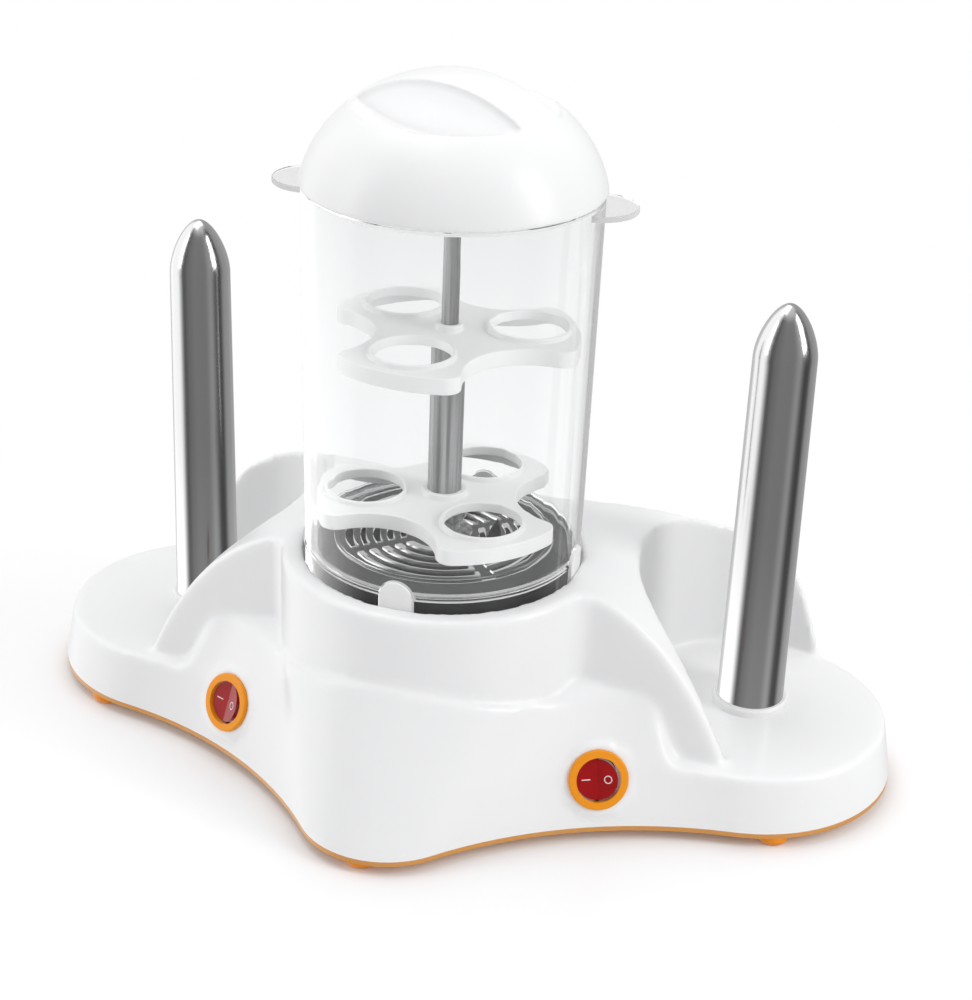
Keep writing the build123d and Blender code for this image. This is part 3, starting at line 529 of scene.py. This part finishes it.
# ---------------------------------------------------------------- cover and feet
# The base cover is a flat moulded plate; only its orange edge shows under the
# housing. Five soft round feet are plugged into it. The container seat, a white ring
# moulded on its own and seated in the housing, is dressed here as well.
def dress(node, material):
    """Give a CAD node its material."""
    data = frame["nodes"][node].data
    data.materials.clear()
    data.materials.append(material)


def softened(node, name, width, material, body):
    """A piece in place of a CAD node, with its moulded edges rounded."""
    work = merged_copy(node)
    bmesh.ops.dissolve_limit(
        work, angle_limit=radians(0.3), verts=work.verts, edges=work.edges, delimit={"NORMAL"}
    )
    piece = finished(name, work, material)
    edge = piece.modifiers.new("edge", "BEVEL")
    edge.width = width
    edge.segments = 2
    edge.limit_method = "ANGLE"
    edge.angle_limit = radians(30)
    edge.use_clamp_overlap = True
    even = piece.modifiers.new("even", "WEIGHTED_NORMAL")
    even.keep_sharp = False
    even.weight = 100
    apply_modifiers(piece)
    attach(piece, body)
    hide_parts(node)
    return piece


softened("container_seat", "well_ring", 0.0005, white_abs, "base")

orange_plate, nodes, links = new_material("orange_plate")
colour = (0.66, 0.30, 0.07)
shader = set_finish(nodes, colour, 0.4)
mottle(nodes, links, shader, 40.0, 0.34, 0.46, colour, 0.04)
grain(nodes, links, shader, 1400.0, 0.08, 0.0001)
dress("base_cover", orange_plate)

foot_rubber, nodes, links = new_material("foot_rubber")
colour = (0.84, 0.27, 0.006)
shader = set_finish(nodes, colour, 0.5, Specular_IOR_Level=0.35)
mottle(nodes, links, shader, 120.0, 0.42, 0.58, colour, 0.05)
grain(nodes, links, shader, 2200.0, 0.15, 0.0001)
dress("feet", foot_rubber)

zinc, nodes, links = new_material("zinc_plate")
shader = set_finish(nodes, (0.55, 0.55, 0.54), 0.35, Metallic=1.0)
mottle(nodes, links, shader, 400.0, 0.29, 0.45)
dress("cover_screws", zinc)
dress("left_spike_nut", zinc)
dress("right_spike_nut", zinc)


# ---------------------------------------------------------------- spikes
# Each bun spike is a deep-drawn stainless tube closed in a blunt ogive, polished
# along its length, standing in a white moulded ring. The steel is painted paler
# towards the foot, a painted glow of the white base on it, for likeness only;
# nothing says that the real metal changes.
steel, nodes, links = new_material("polished_steel")
# The foot colour is a painted reflection of the white base, not another metal.
tip_steel, foot_painted_glow = (0.57, 0.57, 0.575), (0.72, 0.72, 0.72)
shader = set_finish(nodes, tip_steel, 0.2, Metallic=1.0)
place = nodes.new("ShaderNodeTexCoord")
stretch = nodes.new("ShaderNodeMapping")
stretch.inputs["Scale"].default_value = (1, 1, 0.012)
lines = nodes.new("ShaderNodeTexNoise")
lines.inputs["Scale"].default_value = 1500.0
lines.inputs["Detail"].default_value = 3.0
gloss = nodes.new("ShaderNodeMapRange")
gloss.inputs["To Min"].default_value = 0.12
gloss.inputs["To Max"].default_value = 0.265
bump = nodes.new("ShaderNodeBump")
bump.inputs["Strength"].default_value = 0.06
bump.inputs["Distance"].default_value = 0.0001
# Towards the foot the steel's colour blends into the painted glow of the white base.
height = nodes.new("ShaderNodeSeparateXYZ")
painted_glow_share = nodes.new("ShaderNodeMapRange")
painted_glow_share.inputs["From Min"].default_value = 0.115
painted_glow_share.inputs["From Max"].default_value = 0.03
painted_glow_share.interpolation_type = "SMOOTHSTEP"
steel_and_painted_glow = nodes.new("ShaderNodeMix")
steel_and_painted_glow.data_type = "RGBA"
steel_and_painted_glow.inputs["A"].default_value = (*tip_steel, 1)
steel_and_painted_glow.inputs["B"].default_value = (*foot_painted_glow, 1)
links.new(place.outputs["Object"], height.inputs["Vector"])
links.new(height.outputs["Z"], painted_glow_share.inputs["Value"])
links.new(painted_glow_share.outputs["Result"], steel_and_painted_glow.inputs["Factor"])
links.new(steel_and_painted_glow.outputs["Result"], shader.inputs["Base Color"])
links.new(place.outputs["Object"], stretch.inputs["Vector"])
links.new(stretch.outputs["Vector"], lines.inputs["Vector"])
links.new(lines.outputs["Fac"], gloss.inputs["Value"])
links.new(gloss.outputs["Result"], shader.inputs["Roughness"])
links.new(lines.outputs["Fac"], bump.inputs["Height"])
links.new(bump.outputs["Normal"], shader.inputs["Normal"])

white_ring, nodes, links = new_material("white_ring")
colour = (0.86, 0.86, 0.86)
shader = set_finish(nodes, colour, 0.4)
mottle(nodes, links, shader, 90.0, 0.36, 0.46, colour, 0.015)
grain(nodes, links, shader, 1800.0, 0.06, 0.0001)

for side in ("left", "right"):
    dress(side + "_spike", steel)
    dress(side + "_spike_ring", white_ring)
    dress(side + "_spike_heater", zinc)


# ---------------------------------------------------------------- switches
# Round rocker switches: an orange moulded collar clipped into the wall, and a
# translucent red rocker with raised I and O marks.
orange_collar, nodes, links = new_material("orange_collar")
colour = (0.84, 0.29, 0.003)
shader = set_finish(nodes, colour, 0.32, Specular_IOR_Level=0.35)
mottle(nodes, links, shader, 150.0, 0.285, 0.38, colour, 0.04)
grain(nodes, links, shader, 2000.0, 0.05, 0.0001)

red_rocker, nodes, links = new_material("red_rocker")
colour = (0.33, 0.002, 0.004)
shader = set_finish(nodes, colour, 0.22, Specular_IOR_Level=0.3)
mottle(nodes, links, shader, 160.0, 0.17, 0.265, colour, 0.2)

black_plastic, nodes, links = new_material("black_plastic")
colour = (0.03, 0.03, 0.032)
shader = set_finish(nodes, colour, 0.45)
mottle(nodes, links, shader, 160.0, 0.38, 0.55, colour, 0.1)
grain(nodes, links, shader, 1500.0, 0.1, 0.0001)

mark_white, nodes, links = new_material("mark_white")
colour = (0.80, 0.66, 0.66)
shader = set_finish(nodes, colour, 0.4)
mottle(nodes, links, shader, 900.0, 0.34, 0.46, colour, 0.05)

for side, name in ((-1, "left"), (1, "right")):
    dress(name + "_switch_bezel", orange_collar)
    dress(name + "_rocker", red_rocker)
    dress(name + "_switch_body", black_plastic)
    pivot = switch_frame(side) @ Matrix.Translation((0, 0, -0.002))
    pivot = pivot @ Matrix.Rotation(radians(-8), 4, "Y") @ Matrix.Translation((0, 0, 0.002))
    slope = radians(11.45)
    left_half = Matrix.Translation((-0.0042, 0, 0.00146)) @ Matrix.Rotation(slope, 4, "Y")
    right_half = Matrix.Translation((0.0042, 0, 0.00146)) @ Matrix.Rotation(-slope, 4, "Y")
    marks = bmesh.new()
    ring = [(0.0012, 0.0), (0.0016, 0.0), (0.0016, 0.00012), (0.0012, 0.00012)]
    joined(marks, spun(ring, 40, close=True), pivot @ right_half)
    dash = bmesh.new()
    bmesh.ops.create_cube(dash, size=1.0)
    bmesh.ops.scale(dash, vec=(0.0034, 0.00044, 0.0002), verts=dash.verts)
    bmesh.ops.bevel(
        dash,
        geom=dash.edges[:],
        offset=0.00006,
        segments=2,
        profile=0.5,
        affect="EDGES",
        material=-1,
    )
    joined(marks, dash, pivot @ left_half)
    printed = finished(name + "_rocker_marks", marks, mark_white)
    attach(printed, name + "_rocker")
dress("terminal_block", black_plastic)
dress("cord_grommet", black_plastic)


# ---------------------------------------------------------------- heating parts
# A dark coated dish sits on a silicone ring in the well, with the ring heater,
# thermostat, fuse and shield below it.
coating, nodes, links = new_material("dish_coating")
colour = (0.018, 0.018, 0.019)
shader = set_finish(nodes, colour, 0.4, Specular_IOR_Level=0.12)
mottle(nodes, links, shader, 220.0, 0.34, 0.48, colour, 0.15)
grain(nodes, links, shader, 3000.0, 0.15, 0.0001)
dress("heating_dish", coating)

silicone, nodes, links = new_material("silicone")
colour = (0.42, 0.41, 0.39)
shader = set_finish(nodes, colour, 0.55)
mottle(nodes, links, shader, 120.0, 0.48, 0.62, colour, 0.05)
dress("dish_gasket", silicone)

heated_steel, nodes, links = new_material("heated_steel")
shader = set_finish(nodes, (0.30, 0.27, 0.24), 0.4, Metallic=1.0)
mottle(nodes, links, shader, 180.0, 0.32, 0.5)
dress("ring_heater", heated_steel)
dress("heat_shield", zinc)
dress("dish_thermostat", black_plastic)
dress("thermal_fuse", black_plastic)


# ---------------------------------------------------------------- container
# The steaming tube and its grate are clear moulded plastic with polished rims. The
# tube stands on the container seat, and the grate lies on the tube's inner ledge.
clear, nodes, links = new_material("clear_plastic")
shader = set_finish(nodes, (0.99, 0.992, 0.992), 0.03, Transmission_Weight=0.98, IOR=1.28)
mottle(nodes, links, shader, 60.0, 0.015, 0.05)
pass_light = nodes.new("ShaderNodeBsdfTransparent")
pass_light.inputs["Color"].default_value = (0.99, 0.992, 0.992, 1)
light_rays = nodes.new("ShaderNodeLightPath")
shade_share = nodes.new("ShaderNodeMath")
shade_share.operation = "MAXIMUM"
through = nodes.new("ShaderNodeMixShader")
links.new(light_rays.outputs["Is Shadow Ray"], shade_share.inputs[0])
links.new(light_rays.outputs["Is Diffuse Ray"], shade_share.inputs[1])
links.new(shade_share.outputs["Value"], through.inputs["Fac"])
links.new(shader.outputs["BSDF"], through.inputs[1])
links.new(pass_light.outputs["BSDF"], through.inputs[2])
links.new(through.outputs["Shader"], nodes["Material Output"].inputs["Surface"])
softened("container_tube", "steaming_tube", 0.0004, clear, "container")

frosted, nodes, links = new_material("frosted_plastic")
colour = (0.60, 0.61, 0.62)
shader = set_finish(
    nodes, colour, 0.08, Transmission_Weight=0.97, IOR=1.3, Specular_IOR_Level=0.3
)
mottle(nodes, links, shader, 90.0, 0.05, 0.12, colour, 0.03)
softened("container_grate", "slotted_floor", 0.0004, frosted, "container")


# ---------------------------------------------------------------- rack
# Two white moulded egg trays on a grey translucent stem. They stand on the grate and
# lift out together once the lid is off.
tray_white, nodes, links = new_material("tray_white")
colour = (0.90, 0.90, 0.90)
shader = set_finish(nodes, colour, 0.3)
mottle(nodes, links, shader, 60.0, 0.285, 0.4, colour, 0.015)
grain(nodes, links, shader, 300.0, 0.02, 0.0002)
softened("lower_egg_tray", "lower_tray", 0.0005, tray_white, "rack")
softened("upper_egg_tray", "upper_tray", 0.0005, tray_white, "rack")

stem_grey, nodes, links = new_material("stem_grey")
shader = set_finish(nodes, (0.42, 0.425, 0.43), 0.24, Transmission_Weight=0.3)
place = nodes.new("ShaderNodeTexCoord")
stretch = nodes.new("ShaderNodeMapping")
stretch.inputs["Scale"].default_value = (1, 1, 0.02)
flutes = nodes.new("ShaderNodeTexNoise")
flutes.inputs["Scale"].default_value = 420.0
# Dark and light streaks in the stem's colour are painted shade and light of its flutes.
tone = nodes.new("ShaderNodeValToRGB")
tone.color_ramp.elements[0].position = 0.36
tone.color_ramp.elements[0].color = (0.24, 0.24, 0.24, 1)
tone.color_ramp.elements[1].position = 0.64
tone.color_ramp.elements[1].color = (0.60, 0.605, 0.61, 1)
bump = nodes.new("ShaderNodeBump")
bump.inputs["Strength"].default_value = 0.3
bump.inputs["Distance"].default_value = 0.0004
links.new(place.outputs["Object"], stretch.inputs["Vector"])
links.new(stretch.outputs["Vector"], flutes.inputs["Vector"])
links.new(flutes.outputs["Fac"], tone.inputs["Fac"])
links.new(tone.outputs["Color"], shader.inputs["Base Color"])
links.new(flutes.outputs["Fac"], bump.inputs["Height"])
links.new(bump.outputs["Normal"], shader.inputs["Normal"])
dress("rack_stem", stem_grey)


# ---------------------------------------------------------------- lid
# The lid is a polished white dome with a bar handle between two finger scoops. It
# rests on the tube's rim. Its scoops are painted paler than the dome, a painted
# highlight for likeness only; nothing says that the real ones have another colour.
lid_white, nodes, links = new_material("lid_white")
# The scoop colour is a painted highlight, paler than the dome's own white.
dome_white, scoop_painted_highlight = (0.81, 0.812, 0.815), (0.96, 0.962, 0.965)
lid_voxel, lid_passes = 0.0008, 8
shader = set_finish(nodes, dome_white, 0.32)
mottle(nodes, links, shader, 30.0, 0.285, 0.36)
place = nodes.new("ShaderNodeTexCoord")
dome_space = nodes.new("ShaderNodeMapping")
dome_space.vector_type = "TEXTURE"
dome_space.inputs["Location"].default_value = (0, 0, 0.2299)
dome_space.inputs["Scale"].default_value = (0.0566, 0.0566, 0.0484)
depth = nodes.new("ShaderNodeVectorMath")
depth.operation = "LENGTH"
# The painted highlight goes by depth inside the dome's ellipsoid, so it also reaches the lid's
# inner face.
painted_highlight_recess = nodes.new("ShaderNodeMapRange")
painted_highlight_recess.inputs["From Min"].default_value = 0.985
painted_highlight_recess.inputs["From Max"].default_value = 0.93
painted = nodes.new("ShaderNodeMix")
painted.data_type = "RGBA"
painted.inputs["A"].default_value = (*dome_white, 1)
painted.inputs["B"].default_value = (*scoop_painted_highlight, 1)
links.new(place.outputs["Object"], dome_space.inputs["Vector"])
links.new(dome_space.outputs["Vector"], depth.inputs[0])
links.new(depth.outputs["Value"], painted_highlight_recess.inputs["Value"])
links.new(painted_highlight_recess.outputs["Result"], painted.inputs["Factor"])
links.new(painted.outputs["Result"], shader.inputs["Base Color"])
cover = finished("domed_lid", merged_copy("lid"), lid_white)
skin = cover.modifiers.new("skin", "REMESH")
skin.mode = "VOXEL"
skin.voxel_size = lid_voxel
skin.use_smooth_shade = True
ease = cover.modifiers.new("ease", "SMOOTH")
ease.factor = 0.5
ease.iterations = lid_passes
apply_modifiers(cover)
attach(cover, "lid")
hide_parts("lid")


# ---------------------------------------------------------------- polish of the spikes
# Reflections of every piece but the spikes and rockers are switched off, so polished
# faces show the studio's room and never the body, tower or inner parts beside them.
# The real tubes would mirror those: this is a setting for likeness only.
mirrored = ("left_spike", "right_spike", "left_rocker", "right_rocker")
for piece in bpy.data.objects:
    if piece.type == "MESH":
        piece.visible_glossy = piece.name in mirrored
